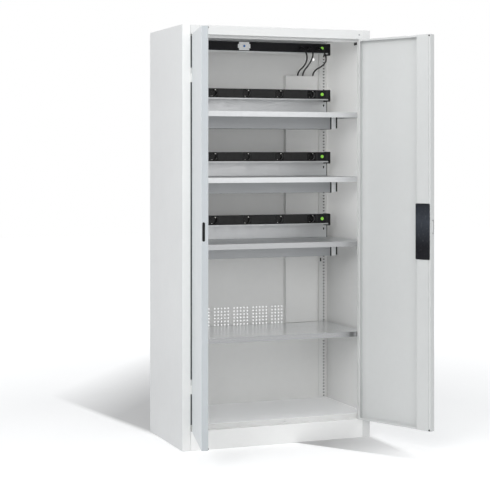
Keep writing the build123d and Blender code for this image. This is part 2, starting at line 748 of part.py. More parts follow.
# Cables from the glands down in a loop and back to the duct
cable_routes = [
    [
        (253, 38, 1877), (259, 29, 1863), (266, 30, 1846), (273, 44, 1830), (280, 68, 1817),
        (287, 100, 1805), (293, 136, 1795), (298, 170, 1788), (301, 197, 1783), (302, 217, 1774),
    ],
    [
        (293, 39, 1878), (297, 30, 1865), (300, 32, 1849), (302, 45, 1834), (305, 66, 1822),
        (310, 95, 1811), (316, 128, 1801), (322, 162, 1793), (327, 193, 1787), (330, 216, 1777),
    ],
    [
        (346, 38, 1879), (354, 30, 1869), (363, 29, 1855), (372, 36, 1841), (381, 53, 1828),
        (389, 79, 1817), (394, 110, 1808), (396, 143, 1800), (395, 174, 1793), (391, 201, 1786),
        (387.5, 219, 1775),
    ],
]
cable_exit_run = 14.0
cable_entry_run = 15.0


def cable(name, middle, gland_x, entry_x):
    """Cable of straight runs joined by tangent arcs as large as the runs allow."""
    points = [(gland_x, gland_face, top_z), (gland_x, gland_face - cable_exit_run, top_z)]
    points += middle
    points += [(entry_x, entry_y, boss_top + cable_entry_run), (entry_x, entry_y, boss_top)]
    places = [Vector(*p) for p in points]
    runs = [b - a for a, b in zip(places, places[1:])]
    radii = []
    for a, b in zip(runs, runs[1:]):
        radii.append(0.45 * min(a.length, b.length) / tan(radians(a.get_angle(b)) / 2))
    with BuildPart() as cord:
        with BuildLine() as route:
            FilletPolyline(*places, radius=radii)
        with BuildSketch(Plane(places[0], z_dir=runs[0])):
            Circle(CABLE_D / 2)
        sweep(path=route.wire())
    length = route.wire().length
    share = cord.part.volume / (pi * CABLE_D ** 2 / 4 * length)
    print(name, "length", round(length, 1), "volume share", round(share, 4))
    print("radii", [round(r, 1) for r in radii])
    save(cord.part, name)


for i, middle in enumerate(cable_routes):
    cable("cable_" + str(i + 1), middle, CABLE_X[i], ENTRY_X[i])

# Blanking plugs in the header and in the right wall
with BuildPart() as blanking_plugs:
    bar((PLUG_X, FRONT - PLUG_HEAD_T, PLUG_Z), (PLUG_X, FRONT, PLUG_Z), PLUG_HEAD_D)
    bar((PLUG_X, FRONT, PLUG_Z), (PLUG_X, FRONT + 2 * SKIN_T, PLUG_Z), PLUG_D)
    with Locations((INNER_X - SKIN_T / 2, WALL_PLUG_Y, WALL_PLUG_Z)):
        Box(SKIN_T, WALL_PLUG_L + 2 * WALL_PLUG_RIM, WALL_PLUG_H + 2 * WALL_PLUG_RIM)
    with Locations((INNER_X + SKIN_T / 2, WALL_PLUG_Y, WALL_PLUG_Z)):
        Box(SKIN_T, WALL_PLUG_L - 2 * SEAT, WALL_PLUG_H - 2 * SEAT)
save(blanking_plugs.part, "blanking_plugs")

# Hinges: lower knuckles on the posts, upper knuckles on the doors, one pin in each pair
bore_d = HINGE_PIN_D + 2 * PIN_RUN
leaf_rear = FRONT + HINGE_LEAF_D


def knuckles(plate_x, lower, length):
    """Right-hand knuckles of one length, each with the plate that carries it."""
    for hinge_z in HINGE_Z:
        z0 = hinge_z + lower
        bar((AXIS_X, AXIS_Y, z0), (AXIS_X, AXIS_Y, z0 + length), KNUCKLE_D)
        block(plate_x - HINGE_LEAF_T / 2, plate_x + HINGE_LEAF_T / 2, AXIS_Y, leaf_rear, z0, z0 + length)
        bar((AXIS_X, AXIS_Y, z0), (AXIS_X, AXIS_Y, z0 + length), bore_d, Mode.SUBTRACT)


upper_from = BODY_KNUCKLE_L + KNUCKLE_GAP
with BuildPart() as right_body_hinges:
    knuckles(OPEN_X - SEAT - HINGE_LEAF_T / 2, 0, BODY_KNUCKLE_L)
with BuildPart() as body_hinges:
    add(right_body_hinges.part)
    mirror(about=Plane.YZ)
save(body_hinges.part, "body_hinges")

with BuildPart() as door_hinges:
    knuckles(LEAF_X + SEAT + HINGE_LEAF_T / 2, upper_from, HINGE_L - upper_from)
save(swing_right(door_hinges.part), "right_door_hinges")
save(swing_left(mirror(door_hinges.part, about=Plane.YZ)), "left_door_hinges")

with BuildPart() as right_pins:
    for hinge_z in HINGE_Z:
        bar((AXIS_X, AXIS_Y, hinge_z), (AXIS_X, AXIS_Y, hinge_z + HINGE_L), HINGE_PIN_D)
with BuildPart() as hinge_pins:
    add(right_pins.part)
    mirror(about=Plane.YZ)
save(hinge_pins.part, "hinge_pins")

# Door leaf: folded skin with returns, closed by folded edges at top and foot
leaf_path = [
    (EDGE_X + DOOR_LIP, LEAF_IN - DOOR_SKIN / 2),
    (EDGE_X + DOOR_SKIN / 2, LEAF_IN - DOOR_SKIN / 2),
    (EDGE_X + DOOR_SKIN / 2, FRONT + DOOR_SKIN / 2),
    (LEAF_X - DOOR_SKIN / 2, FRONT + DOOR_SKIN / 2),
    (LEAF_X - DOOR_SKIN / 2, LEAF_IN - DOOR_SKIN / 2),
    (LEAF_X - DOOR_LIP, LEAF_IN - DOOR_SKIN / 2),
]


lip_x0 = EDGE_X + DOOR_LIP
lip_x1 = LEAF_X - DOOR_LIP
with BuildPart() as plain_leaf:
    fold(Plane.XY.offset(LEAF_Z0), LEAF_Z1 - LEAF_Z0, leaf_path, DOOR_SKIN)
    for outer, inward in ((LEAF_Z0, 1), (LEAF_Z1, -1)):
        level = outer + inward * DOOR_SKIN / 2
        edge_path = [
            (FRONT + DOOR_SKIN / 2, level),
            (LEAF_IN - DOOR_SKIN / 2, level),
            (LEAF_IN - DOOR_SKIN / 2, outer + inward * DOOR_LIP),
        ]
        fold(Plane.YZ.offset(lip_x0), lip_x1 - lip_x0, edge_path, DOOR_SKIN)
        for x0, x1 in ((EDGE_X + DOOR_SKIN / 2, lip_x0), (lip_x1, LEAF_X - DOOR_SKIN / 2)):
            block(
                x0, x1, FRONT + DOOR_SKIN / 2, LEAF_IN - DOOR_SKIN / 2, level - DOOR_SKIN / 2,
                level + DOOR_SKIN / 2,
            )

cylinder_z = LATCH_Z + CYLINDER_RISE
skin_back = FRONT + 2 * DOOR_SKIN
slot_y0 = LATCH_Y - EDGE_SLOT_W / 2
slot_y1 = LATCH_Y + EDGE_SLOT_W / 2
slot_z0 = LATCH_Z - EDGE_SLOT_H / 2
slot_z1 = LATCH_Z + EDGE_SLOT_H / 2
with BuildPart() as right_leaf:
    add(plain_leaf.part)
    block(EDGE_X, EDGE_X + DOOR_SKIN, slot_y0, slot_y1, slot_z0, slot_z1, Mode.SUBTRACT)
    bar((LOCK_X, ROD_Y, LEAF_Z0), (LOCK_X, ROD_Y, LEAF_Z0 + DOOR_SKIN), ROD_HOLE_D, Mode.SUBTRACT)
    bar((LOCK_X, ROD_Y, LEAF_Z1 - DOOR_SKIN), (LOCK_X, ROD_Y, LEAF_Z1), ROD_HOLE_D, Mode.SUBTRACT)
    bar((LOCK_X, FRONT, LATCH_Z), (LOCK_X, skin_back, LATCH_Z), HUB_D + 2 * SEAT, Mode.SUBTRACT)
    bar((LOCK_X, FRONT, cylinder_z), (LOCK_X, skin_back, cylinder_z), CYLINDER_D + 2 * SEAT, Mode.SUBTRACT)
save(swing_right(right_leaf.part), "right_door")

with BuildPart() as left_leaf:
    add(mirror(plain_leaf.part, about=Plane.YZ, mode=Mode.PRIVATE))
    with BuildSketch(Plane.YZ.offset(-EDGE_X)):
        with Locations((LATCH_Y, LATCH_Z)):
            SlotOverall(STRIKE_SLOT_H, STRIKE_SLOT_W, rotation=90)
    extrude(amount=-DOOR_SKIN, mode=Mode.SUBTRACT)
save(swing_left(left_leaf.part), "left_door")

# Stiffener channels inside the doors, their webs over the lips at top and foot
stiff_x0 = LOCK_X - STIFF_W / 2
stiff_x1 = LOCK_X + STIFF_W / 2
web_y = LEAF_IN + SEAT + SKIN_T / 2
skin_seat = FRONT + DOOR_SKIN + SEAT
stiff_path = [
    (stiff_x0 + SKIN_T / 2, skin_seat),
    (stiff_x0 + SKIN_T / 2, web_y),
    (stiff_x1 - SKIN_T / 2, web_y),
    (stiff_x1 - SKIN_T / 2, skin_seat),
]
lip_clear = DOOR_LIP + 2 * SKIN_T
with BuildPart() as plain_stiffener:
    fold(Plane.XY.offset(LEAF_Z0), LEAF_Z1 - LEAF_Z0, stiff_path, radius=SKIN_T)
    for outer, inward in ((LEAF_Z0, 1), (LEAF_Z1, -1)):
        block(
            stiff_x0, stiff_x1, FRONT, LEAF_IN + SEAT, outer, outer + inward * lip_clear, Mode.SUBTRACT
        )
save(swing_left(mirror(plain_stiffener.part, about=Plane.YZ)), "left_stiffener")

with BuildPart() as right_stiffener:
    add(plain_stiffener.part)
    block(stiff_x0, stiff_x0 + SKIN_T, slot_y0, slot_y1, slot_z0, slot_z1, Mode.SUBTRACT)
save(swing_right(right_stiffener.part), "right_stiffener")

# Lock case with guides for the spindle, the rods and the latch
case_x0 = LOCK_X - CASE_W / 2
case_x1 = LOCK_X + CASE_W / 2
case_y1 = skin_seat + CASE_D
rod_bore = ROD_D + 2 * SLIDE_RUN
rod_root = CASE_H / 2 - ROD_IN_CASE
latch_tip = EDGE_X + DOOR_SKIN / 2
with BuildPart() as lock_case:
    block(case_x0, case_x1, skin_seat, case_y1, LATCH_Z - CASE_H / 2, LATCH_Z + CASE_H / 2)
    bar((LOCK_X, skin_seat, LATCH_Z), (LOCK_X, case_y1, LATCH_Z), SPINDLE_D + 2 * SPINDLE_RUN, Mode.SUBTRACT)
    for s in (-1, 1):
        root = (LOCK_X, ROD_Y, LATCH_Z + s * (rod_root - SLIDE_RUN))
        bar(root, (LOCK_X, ROD_Y, LATCH_Z + s * CASE_H / 2), rod_bore, Mode.SUBTRACT)
    block(
        case_x0, latch_tip + LATCH_L + SLIDE_RUN, LATCH_Y - LATCH_T / 2 - SLIDE_RUN,
        LATCH_Y + LATCH_T / 2 + SLIDE_RUN, LATCH_Z - LATCH_H / 2 - SLIDE_RUN,
        LATCH_Z + LATCH_H / 2 + SLIDE_RUN, Mode.SUBTRACT,
    )
save(swing_right(lock_case.part), "lock_case")

with BuildPart() as latch:
    block(
        latch_tip, latch_tip + LATCH_L, LATCH_Y - LATCH_T / 2, LATCH_Y + LATCH_T / 2,
        LATCH_Z - LATCH_H / 2, LATCH_Z + LATCH_H / 2,
    )
    chamfer(latch.edges().filter_by(Axis.Z).group_by(Axis.X)[0], length=LATCH_T / 4)
save(swing_right(latch.part), "latch")

# Locking rods and the guides that hold them in the stiffener
with BuildPart() as upper_rod:
    bar((LOCK_X, ROD_Y, LATCH_Z + rod_root), (LOCK_X, ROD_Y, LEAF_Z1 - ROD_TIP_IN), ROD_D)
    chamfer(upper_rod.edges().filter_by(GeomType.CIRCLE).sort_by(Axis.Z)[-1], length=ROD_D / 4)
save(swing_right(upper_rod.part), "upper_rod")

with BuildPart() as lower_rod:
    bar((LOCK_X, ROD_Y, LATCH_Z - rod_root), (LOCK_X, ROD_Y, LEAF_Z0 + ROD_TIP_IN), ROD_D)
    chamfer(lower_rod.edges().filter_by(GeomType.CIRCLE).sort_by(Axis.Z)[0], length=ROD_D / 4)
save(swing_right(lower_rod.part), "lower_rod")

with BuildPart() as rod_guides:
    for z in GUIDE_Z:
        z0 = z - GUIDE_L / 2
        z1 = z + GUIDE_L / 2
        block(LOCK_X - GUIDE_W / 2, LOCK_X + GUIDE_W / 2, skin_seat, LEAF_IN, z0, z1)
        bar((LOCK_X, ROD_Y, z0), (LOCK_X, ROD_Y, z1), rod_bore, Mode.SUBTRACT)
save(swing_right(rod_guides.part), "rod_guides")

# Black cover over the lock, on the inner side of the stiffener
cover_y = web_y + SKIN_T / 2 + SEAT
cover_x0 = EDGE_X + COVER_IN
with BuildPart() as lock_cover:
    block(
        cover_x0, cover_x0 + COVER_W, cover_y, cover_y + COVER_T, COVER_Z - COVER_H / 2,
        COVER_Z + COVER_H / 2,
    )
    fillet(lock_cover.edges().filter_by(Axis.Y), radius=COVER_R)
    fillet(lock_cover.faces().sort_by(Axis.Y)[-1].edges(), radius=COVER_T / 3)
save(swing_right(lock_cover.part), "lock_cover")

# Handle plate, lever on its spindle, and lock cylinder, on the outer side
plate_back = FRONT - SEAT
plate_face = plate_back - PLATE_T
with BuildPart() as handle_plate:
    with BuildSketch(Plane.XZ.offset(-plate_back)):
        with Locations((LOCK_X, LATCH_Z + PLATE_RISE)):
            RectangleRounded(PLATE_W, PLATE_L, PLATE_W / 3)
        with Locations((LOCK_X, LATCH_Z)):
            Circle(HUB_D / 2 + SPINDLE_RUN, mode=Mode.SUBTRACT)
        with Locations((LOCK_X, cylinder_z)):
            Circle(CYLINDER_D / 2 + SPINDLE_RUN, mode=Mode.SUBTRACT)
    extrude(amount=PLATE_T)
    rim = handle_plate.faces().sort_by(Axis.Y)[0].outer_wire().edges()
    fillet(rim, radius=PLATE_T / 3)
save(swing_right(handle_plate.part), "handle_plate")

lever_back = plate_face - LEVER_OFF
hub_end = skin_seat - SEAT
with BuildPart() as handle:
    with BuildSketch(Plane.XZ.offset(-lever_back)):
        with Locations((LOCK_X + (LEVER_L - LEVER_W) / 2, LATCH_Z)):
            SlotOverall(LEVER_L, LEVER_W)
    extrude(amount=LEVER_T)
    fillet(handle.faces().sort_by(Axis.Y)[0].edges(), radius=LEVER_T / 3)
    fillet(handle.faces().sort_by(Axis.Y)[-1].edges(), radius=LEVER_T / 4)
    bar((LOCK_X, lever_back - 1, LATCH_Z), (LOCK_X, hub_end, LATCH_Z), HUB_D)
    bar((LOCK_X, hub_end, LATCH_Z), (LOCK_X, case_y1, LATCH_Z), SPINDLE_D)
save(swing_right(handle.part), "handle")

cylinder_face = plate_face - CYLINDER_PROUD
with BuildPart() as lock_cylinder:
    bar((LOCK_X, cylinder_face, cylinder_z), (LOCK_X, FRONT + CYLINDER_DEPTH, cylinder_z), CYLINDER_D)
    with Locations((LOCK_X, cylinder_face + KEYWAY_DEPTH / 2, cylinder_z)):
        Box(KEYWAY_W, KEYWAY_DEPTH, KEYWAY_L, mode=Mode.SUBTRACT)
save(swing_right(lock_cylinder.part), "lock_cylinder")

# Door buffers on the inner corners of the free edges
buffer_x = EDGE_X + BUFFER_IN
buffer_y = LEAF_IN + SEAT
with BuildPart() as plain_buffers:
    for z in (LEAF_Z0 + BUFFER_IN, LEAF_Z1 - BUFFER_IN):
        bar((buffer_x, buffer_y, z), (buffer_x, buffer_y + BUFFER_T, z), BUFFER_D)
save(swing_right(plain_buffers.part), "right_buffers")
save(swing_left(mirror(plain_buffers.part, about=Plane.YZ)), "left_buffers")
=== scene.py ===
import json
from math import cos, pi, radians, sin

import bpy
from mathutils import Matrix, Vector


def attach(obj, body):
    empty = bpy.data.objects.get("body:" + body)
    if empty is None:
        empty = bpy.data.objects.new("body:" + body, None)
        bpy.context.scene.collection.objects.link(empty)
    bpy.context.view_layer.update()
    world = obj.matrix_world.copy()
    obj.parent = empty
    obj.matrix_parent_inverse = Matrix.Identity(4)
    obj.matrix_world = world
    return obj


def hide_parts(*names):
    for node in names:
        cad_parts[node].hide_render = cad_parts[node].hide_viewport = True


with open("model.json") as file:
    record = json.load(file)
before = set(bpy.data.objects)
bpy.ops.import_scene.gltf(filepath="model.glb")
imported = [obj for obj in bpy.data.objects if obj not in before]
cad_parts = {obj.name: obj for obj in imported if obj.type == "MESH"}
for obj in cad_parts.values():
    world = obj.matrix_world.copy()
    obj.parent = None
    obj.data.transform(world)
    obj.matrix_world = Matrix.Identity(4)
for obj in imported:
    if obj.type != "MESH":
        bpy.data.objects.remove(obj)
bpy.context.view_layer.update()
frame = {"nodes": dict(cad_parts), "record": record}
nodes = frame["nodes"]
scene = bpy.context.scene
MM = 0.001

# Camera, solved from the corners of the cabinet in the photograph
PHOTO = 490
SENSOR = 36.0
FOCAL_PX = 1396.17
HORIZON_PX = 153.78
YAW = 21.01
CAMERA_AT = (-2.4914, -6.2973, 1.3587)
camera_data = bpy.data.cameras.new("camera")
camera_data.sensor_width = SENSOR
camera_data.lens = FOCAL_PX / PHOTO * SENSOR
camera_data.shift_y = (HORIZON_PX - PHOTO / 2) / PHOTO
camera_data.clip_end = 60
camera = bpy.data.objects.new("camera", camera_data)
scene.collection.objects.link(camera)
camera.location = CAMERA_AT
camera.rotation_euler = (radians(90), 0, radians(-YAW))
scene.camera = camera

# Hinge axes and opening angles of the two leaves at rest
AXIS_X = 433.0
AXIS_Y = -253.0
LEFT_OPEN = 103.5
RIGHT_OPEN = 114.0


def swung(x, y, angle):
    """A level direction or distance turned by an angle in degrees."""
    c, s = cos(radians(angle)), sin(radians(angle))
    return c * x - s * y, s * x + c * y


# Ways that faces look, by which light and shade are painted: out of the front, into the cabinet, up, and
# off the open leaves
FRONTWARD = (0.0, -1.0, 0.0)
LEFTWARD = (-1.0, 0.0, 0.0)
UPWARD = (0.0, 0.0, 1.0)
LEFT_EDGE = (*swung(1.0, 0.0, -LEFT_OPEN), 0.0)
LEFT_INNER = (*swung(0.0, 1.0, -LEFT_OPEN), 0.0)
RIGHT_EDGE = (*swung(-1.0, 0.0, RIGHT_OPEN), 0.0)
RIGHT_OUTER = (*swung(0.0, -1.0, RIGHT_OPEN), 0.0)


class Nodes:
    """A node tree with short calls for the nodes that the materials share."""

    def __init__(self, tree):
        self.tree = tree
        tree.nodes.clear()

    def feed(self, socket, value):
        if hasattr(value, "is_output"):
            self.tree.links.new(value, socket)
        else:
            socket.default_value = value

    def add(self, kind, inputs=None, **settings):
        node = self.tree.nodes.new(kind)
        for name, value in settings.items():
            setattr(node, name, value)
        for name, value in (inputs or {}).items():
            self.feed(node.inputs[name], value)
        return node

    def place(self):
        return self.add("ShaderNodeTexCoord").outputs["Object"]

    def facing(self):
        return self.add("ShaderNodeTexCoord").outputs["Normal"]

    def along(self, vector, letter):
        return self.add("ShaderNodeSeparateXYZ", {0: vector}).outputs[letter]

    def math(self, how, *values):
        return self.add("ShaderNodeMath", dict(enumerate(values)), operation=how).outputs[0]

    def stretched(self, scale):
        node = self.add("ShaderNodeMapping", {"Vector": self.place(), "Scale": scale})
        return node.outputs["Vector"]

    def noise(self, scale, detail=3.0, vector=None, rough=0.5):
        node = self.add(
            "ShaderNodeTexNoise",
            {"Vector": vector or self.place(), "Scale": scale, "Detail": detail, "Roughness": rough},
        )
        return node.outputs["Fac"]

    def spread(self, value, low, high, start=0.3, end=0.7):
        node = self.add(
            "ShaderNodeMapRange",
            {"Value": value, "From Min": start, "From Max": end, "To Min": low, "To Max": high},
        )
        return node.outputs["Result"]

    def blend(self, factor, first, second, how="MIX"):
        node = self.add("ShaderNodeMix", data_type="RGBA", blend_type=how)
        for socket, value in zip((node.inputs[0], node.inputs[6], node.inputs[7]), (factor, first, second)):
            self.feed(socket, value)
        return node.outputs[2]

    def bump(self, height, strength, distance, normal):
        inputs = {"Height": height, "Strength": strength, "Distance": distance, "Normal": normal}
        return self.add("ShaderNodeBump", inputs).outputs["Normal"]

    def rounded(self, radius):
        return self.add("ShaderNodeBevel", {"Radius": radius}, samples=4).outputs["Normal"]

    def turned_to(self, way):
        """0 to 1 as a face turns to a direction of the object."""
        turned = self.add("ShaderNodeVectorMath", {0: self.facing(), 1: way}, operation="DOT_PRODUCT")
        return self.spread(turned.outputs["Value"], 0.0, 1.0, 0.6, 0.9)

    def height_ramp(self, low, high):
        """0 to 1 from one height to another."""
        return self.spread(self.along(self.place(), "Z"), 0.0, 1.0, low, high)


def rgba(colour):
    return (*colour, 1.0)


# Radii that soften the edges of each kind of material, and the materials by name
PAINT_EDGE = 0.0006
PLASTIC_EDGE = 0.0006
ZINC_EDGE = 0.0005
STEEL_EDGE = 0.0004
BLACK = (0.0, 0.0, 0.0, 1.0)
looks = {}


def material(name):
    """A new material, kept under its name, with its nodes and the inputs of its Principled shader."""
    made = bpy.data.materials.new(name)
    made.use_nodes = True
    n = Nodes(made.node_tree)
    shader = n.add("ShaderNodeBsdfPrincipled")
    n.add("ShaderNodeOutputMaterial", {"Surface": shader.outputs["BSDF"]})
    looks[name] = made
    return n, shader.inputs


def paint(name, colour, rough=0.4, others=(), bounce=None):
    """Powder coat: faint orange peel, slow drift of tone, painted light and shade as other tones on faces
    turned to other ways, and a painted glow of bounced light on faces turned one way between two heights.
    """
    n, inputs = material(name)
    # Painted glow of bounced light on faces turned one way, between two heights
    if bounce:
        amount, way, low, high = bounce
        share = n.math("MULTIPLY", n.turned_to(way), n.height_ramp(low, high))
        n.feed(inputs["Emission Strength"], n.spread(share, 0.0, amount, 0.0, 1.0))
        inputs["Emission Color"].default_value = (1, 1, 0.99, 1)
    drift = n.spread(n.noise(2.2, 4.0), 0.96, 1.0)
    dust = n.spread(n.noise(38.0, 6.0), 0.985, 1.0)
    coat = rgba(colour)
    # Painted light and shade: other tones on faces turned to other ways
    for way, other in others:
        coat = n.blend(n.turned_to(way), coat, rgba(other))
    n.feed(inputs["Base Color"], n.blend(n.math("MULTIPLY", drift, dust), BLACK, coat))
    n.feed(inputs["Roughness"], n.spread(n.noise(14.0, 5.0), rough - 0.05, rough + 0.07))
    n.feed(inputs["Normal"], n.bump(n.noise(1100.0, 2.0), 0.06, 0.0004, n.rounded(PAINT_EDGE)))


def zinc(name, colour, rough, depth, metal=0.85, upright_shade=1.0, vary=1.0):
    """Galvanised sheet: crystal spangle, rolling lines, a dull sheen and painted shade on upright faces."""
    n, inputs = material(name)
    cells = n.add(
        "ShaderNodeTexVoronoi", {"Vector": n.place(), "Scale": 70.0, "Randomness": 1.0}, feature="F1"
    )
    grey = n.add("ShaderNodeSeparateColor", {"Color": cells.outputs["Color"]}).outputs[0]
    lines = n.noise(1.0, 2.0, n.stretched((6.0, 420.0, 420.0)))
    crystal = n.spread(grey, 1.0 - depth, 1.0, 0.0, 1.0)
    rolled = n.spread(lines, 0.96, 1.0)
    level = n.math("ABSOLUTE", n.along(n.facing(), "Z"))
    # Painted shade: upright faces darker than level ones
    tone = n.math("MULTIPLY", n.math("MULTIPLY", crystal, rolled), n.spread(level, upright_shade, 1.0, 0.2, 0.8))
    n.feed(inputs["Base Color"], n.blend(tone, BLACK, rgba(colour)))
    n.feed(inputs["Roughness"], n.spread(grey, rough - 0.06 * vary, rough + 0.08 * vary, 0.0, 1.0))
    n.feed(inputs["Normal"], n.bump(lines, 0.04 * vary, 0.0003, n.rounded(ZINC_EDGE)))
    inputs["Metallic"].default_value = metal


def plastic(name, colour, rough, grain=0.1, coat=0.0, shine=0.25, sheen_band=None, lit_walls=None, glow=0.0):
    """Moulded plastic or rubber: fine grain, scuffs, a painted reflection as a paler band at a height,
    painted light on bore walls, and a painted glow.
    """
    n, inputs = material(name)
    scuff = n.spread(n.noise(60.0, 8.0, rough=0.7), 0.9, 1.12)
    tint = rgba(colour)
    # Painted light on the walls of bores
    if lit_walls:
        forward = n.math("ABSOLUTE", n.along(n.facing(), "Y"))
        tint = n.blend(n.spread(forward, 0.0, 1.0, 0.3, 0.6), rgba(lit_walls), tint)
    # Painted glow, though no lamp is behind it
    if glow:
        inputs["Emission Color"].default_value = rgba(colour)
        inputs["Emission Strength"].default_value = glow
    # Painted reflection: a paler band at a height
    if sheen_band:
        middle, reach, paler = sheen_band
        away = n.math("ABSOLUTE", n.math("SUBTRACT", n.along(n.place(), "Z"), middle))
        tint = n.blend(n.spread(away, 0.0, 1.0, 0.0, reach), rgba(paler), tint)
    n.feed(inputs["Base Color"], n.blend(1.0, tint, scuff, "MULTIPLY"))
    n.feed(inputs["Roughness"], n.spread(n.noise(90.0, 4.0), rough - 0.06, rough + 0.08))
    n.feed(inputs["Normal"], n.bump(n.noise(2600.0, 1.0), grain, 0.0002, n.rounded(PLASTIC_EDGE)))
    inputs["Specular IOR Level"].default_value = shine
    inputs["Coat Weight"].default_value = coat


def steel(name, colour, rough=0.28, lines=(300.0, 300.0, 8.0)):
    """Turned, plated or brushed metal with fine lines and a few darker marks."""
    n, inputs = material(name)
    brushed = n.noise(1.0, 3.0, n.stretched(lines))
    marks = n.spread(n.noise(45.0, 6.0), 0.88, 1.0)
    n.feed(inputs["Base Color"], n.blend(marks, BLACK, rgba(colour)))
    n.feed(inputs["Roughness"], n.spread(brushed, rough - 0.05, rough + 0.1))
    n.feed(inputs["Normal"], n.bump(brushed, 0.05, 0.0002, n.rounded(STEEL_EDGE)))
    inputs["Metallic"].default_value = 1.0


def lit(name, colour, glow):
    """Translucent mottled plastic with a lamp behind it."""
    n, inputs = material(name)
    mottle = n.spread(n.noise(240.0, 3.0), 0.8, 1.1)
    tint = n.blend(1.0, rgba(colour), mottle, "MULTIPLY")
    n.feed(inputs["Base Color"], tint)
    n.feed(inputs["Emission Color"], tint)
    n.feed(inputs["Normal"], n.bump(n.noise(900.0, 2.0), 0.08, 0.0002, n.rounded(PLASTIC_EDGE)))
    inputs["Emission Strength"].default_value = glow
    inputs["Roughness"].default_value = 0.25
    inputs["Coat Weight"].default_value = 0.6


# Copies of one pale paint that differ a little by node and by the way a face looks: painted light and
# shade, some with a painted glow of bounced light
PALE = (0.90, 0.90, 0.89)
# Painted shade: a darker copy of the pale paint for faces out of the front
FRONT_SHADE = (0.76, 0.765, 0.76)
# Painted light and shade of the leaves: darker copies of the pale paint, the outer faces lighter than the
# inner
LEAF_OUTER = (0.77, 0.80, 0.815)
LEAF_INNER = (0.71, 0.72, 0.715)
paint("body_paint", PALE)
# Painted shade on the left side's side faces; its faces out of the front keep the pale paint
paint("side_paint", (0.80, 0.805, 0.805), others=[(FRONTWARD, PALE)])
# Painted glow of bounced light on the interior's faces out of the front, fading in between 0.35 and 0.65 m
# up
paint("inner_paint", (0.90, 0.90, 0.885), rough=0.45, bounce=(0.05, FRONTWARD, 0.35, 0.65))
# Painted light: a paler copy for the plinth
paint("plinth_paint", (0.97, 0.97, 0.96))
# Painted shade: the roof in the darker copy for faces out of the front
paint("front_paint", FRONT_SHADE)
# Painted shade on the floor's faces out of the front, and a painted glow of bounced light on its faces that
# look up
paint(
    "floor_paint", (0.96, 0.965, 0.97), others=[(FRONTWARD, (0.78, 0.78, 0.77))],
    bounce=(0.075, UPWARD, -1.0, -0.5),
)
# Painted shade on the right side's faces out of the front, and a painted glow of bounced light on its faces
# into the cabinet, fading in between 0.85 and 1.08 m up
paint(
    "wall_paint", (0.89, 0.89, 0.88), others=[(FRONTWARD, FRONT_SHADE)],
    bounce=(0.18, LEFTWARD, 0.85, 1.08),
)
# Painted shade on the right leaf's edge, and a paler tone on its outer face
paint("door_paint", LEAF_INNER, others=[(RIGHT_EDGE, (0.62, 0.63, 0.625)), (RIGHT_OUTER, LEAF_OUTER)])
paint("stiffener_paint", (0.70, 0.71, 0.705))
# Painted shade on the left leaf's edge and on its inner face
paint("edge_paint", LEAF_OUTER, others=[(LEFT_EDGE, (0.50, 0.53, 0.55)), (LEFT_INNER, LEAF_INNER)])

# Bare sheet and turned or cast metal
zinc("zinc_sheet", (0.76, 0.77, 0.78), rough=0.42, depth=0.04, upright_shade=0.96)
# Copies for the third and fourth shelves with deeper painted shade on their upright fronts, the lowest also
# paler and glossier
zinc("zinc_middle", (0.76, 0.77, 0.78), rough=0.38, depth=0.04, upright_shade=0.66)
zinc("zinc_low", (0.90, 0.91, 0.92), rough=0.22, depth=0.015, upright_shade=0.40, vary=0.15)
zinc("zinc_bracket", (0.94, 0.95, 0.96), rough=0.42, metal=0.6, depth=0.05)
zinc("grey_sheet", (0.40, 0.41, 0.42), rough=0.45, metal=0.45, depth=0.04)
steel("clip_steel", (0.82, 0.81, 0.78), rough=0.2)
steel("rod_steel", (0.72, 0.73, 0.74))
steel("lock_zinc", (0.55, 0.55, 0.56), rough=0.45, lines=(120.0, 120.0, 120.0))
steel("handle_metal", (0.46, 0.46, 0.47), rough=0.24)

# Plastics and rubber
plastic("strip_black", (0.018, 0.018, 0.02), rough=0.4, shine=0.16)
plastic("plate_black", (0.028, 0.028, 0.028), rough=0.42, shine=0.2)
plastic("socket_black", (0.008, 0.008, 0.009), rough=0.2, grain=0.03, shine=0.4)
# Painted light on the walls of the socket wells
plastic(
    "well_black", (0.006, 0.006, 0.006), rough=0.25, grain=0.03, shine=0.3, lit_walls=(0.16, 0.16, 0.16)
)
plastic("shadow_black", (0.02, 0.02, 0.02), rough=0.8, shine=0.0)
# Dark grey for strips of painted shade in gaps
plastic("gap_shade_grey", (0.13, 0.14, 0.145), rough=0.7, shine=0.1)
lit("switch_green", (0.25, 0.62, 0.06), 0.45)
# Painted glow that lights the white module
plastic("module_white", (0.86, 0.87, 0.87), rough=0.4, grain=0.05, glow=0.12)
plastic("button_blue", (0.03, 0.22, 0.62), rough=0.3, coat=0.4)
plastic("cable_black", (0.014, 0.014, 0.015), rough=0.42, shine=0.3)
plastic("plug_black", (0.016, 0.016, 0.018), rough=0.42)
plastic("plug_grey", (0.09, 0.09, 0.09), rough=0.5)
# Painted reflection: a paler band across the middle of the lock cover
plastic(
    "cover_black", (0.010, 0.010, 0.013), rough=0.22, grain=0.02,
    sheen_band=(1.05, 0.115, (0.042, 0.048, 0.060)),
)
plastic("buffer_rubber", (0.03, 0.03, 0.03), rough=0.6, grain=0.2)

# Each node wears the material of its slot, or its own where it has one
worn_by = {entry["node"]: entry["material_slot"] for entry in frame["record"]["subparts"]}
own_look = {
    "rear_wall": "inner_paint",
    "cable_duct": "inner_paint",
    "lock_cover": "cover_black",
    "left_door": "edge_paint",
    "left_side": "side_paint",
    "roof": "front_paint",
    "right_side": "wall_paint",
    "floor": "floor_paint",
    "right_stiffener": "stiffener_paint",
    "plinth": "plinth_paint",
    "blanking_plugs": "plug_grey",
    "sockets": "well_black",
    "shelf_3": "zinc_middle",
    "shelf_4": "zinc_low",
}
for name, obj in nodes.items():
    look = looks[own_look.get(name, worn_by[name])]
    obj.data.materials.clear()
    obj.data.materials.append(look)


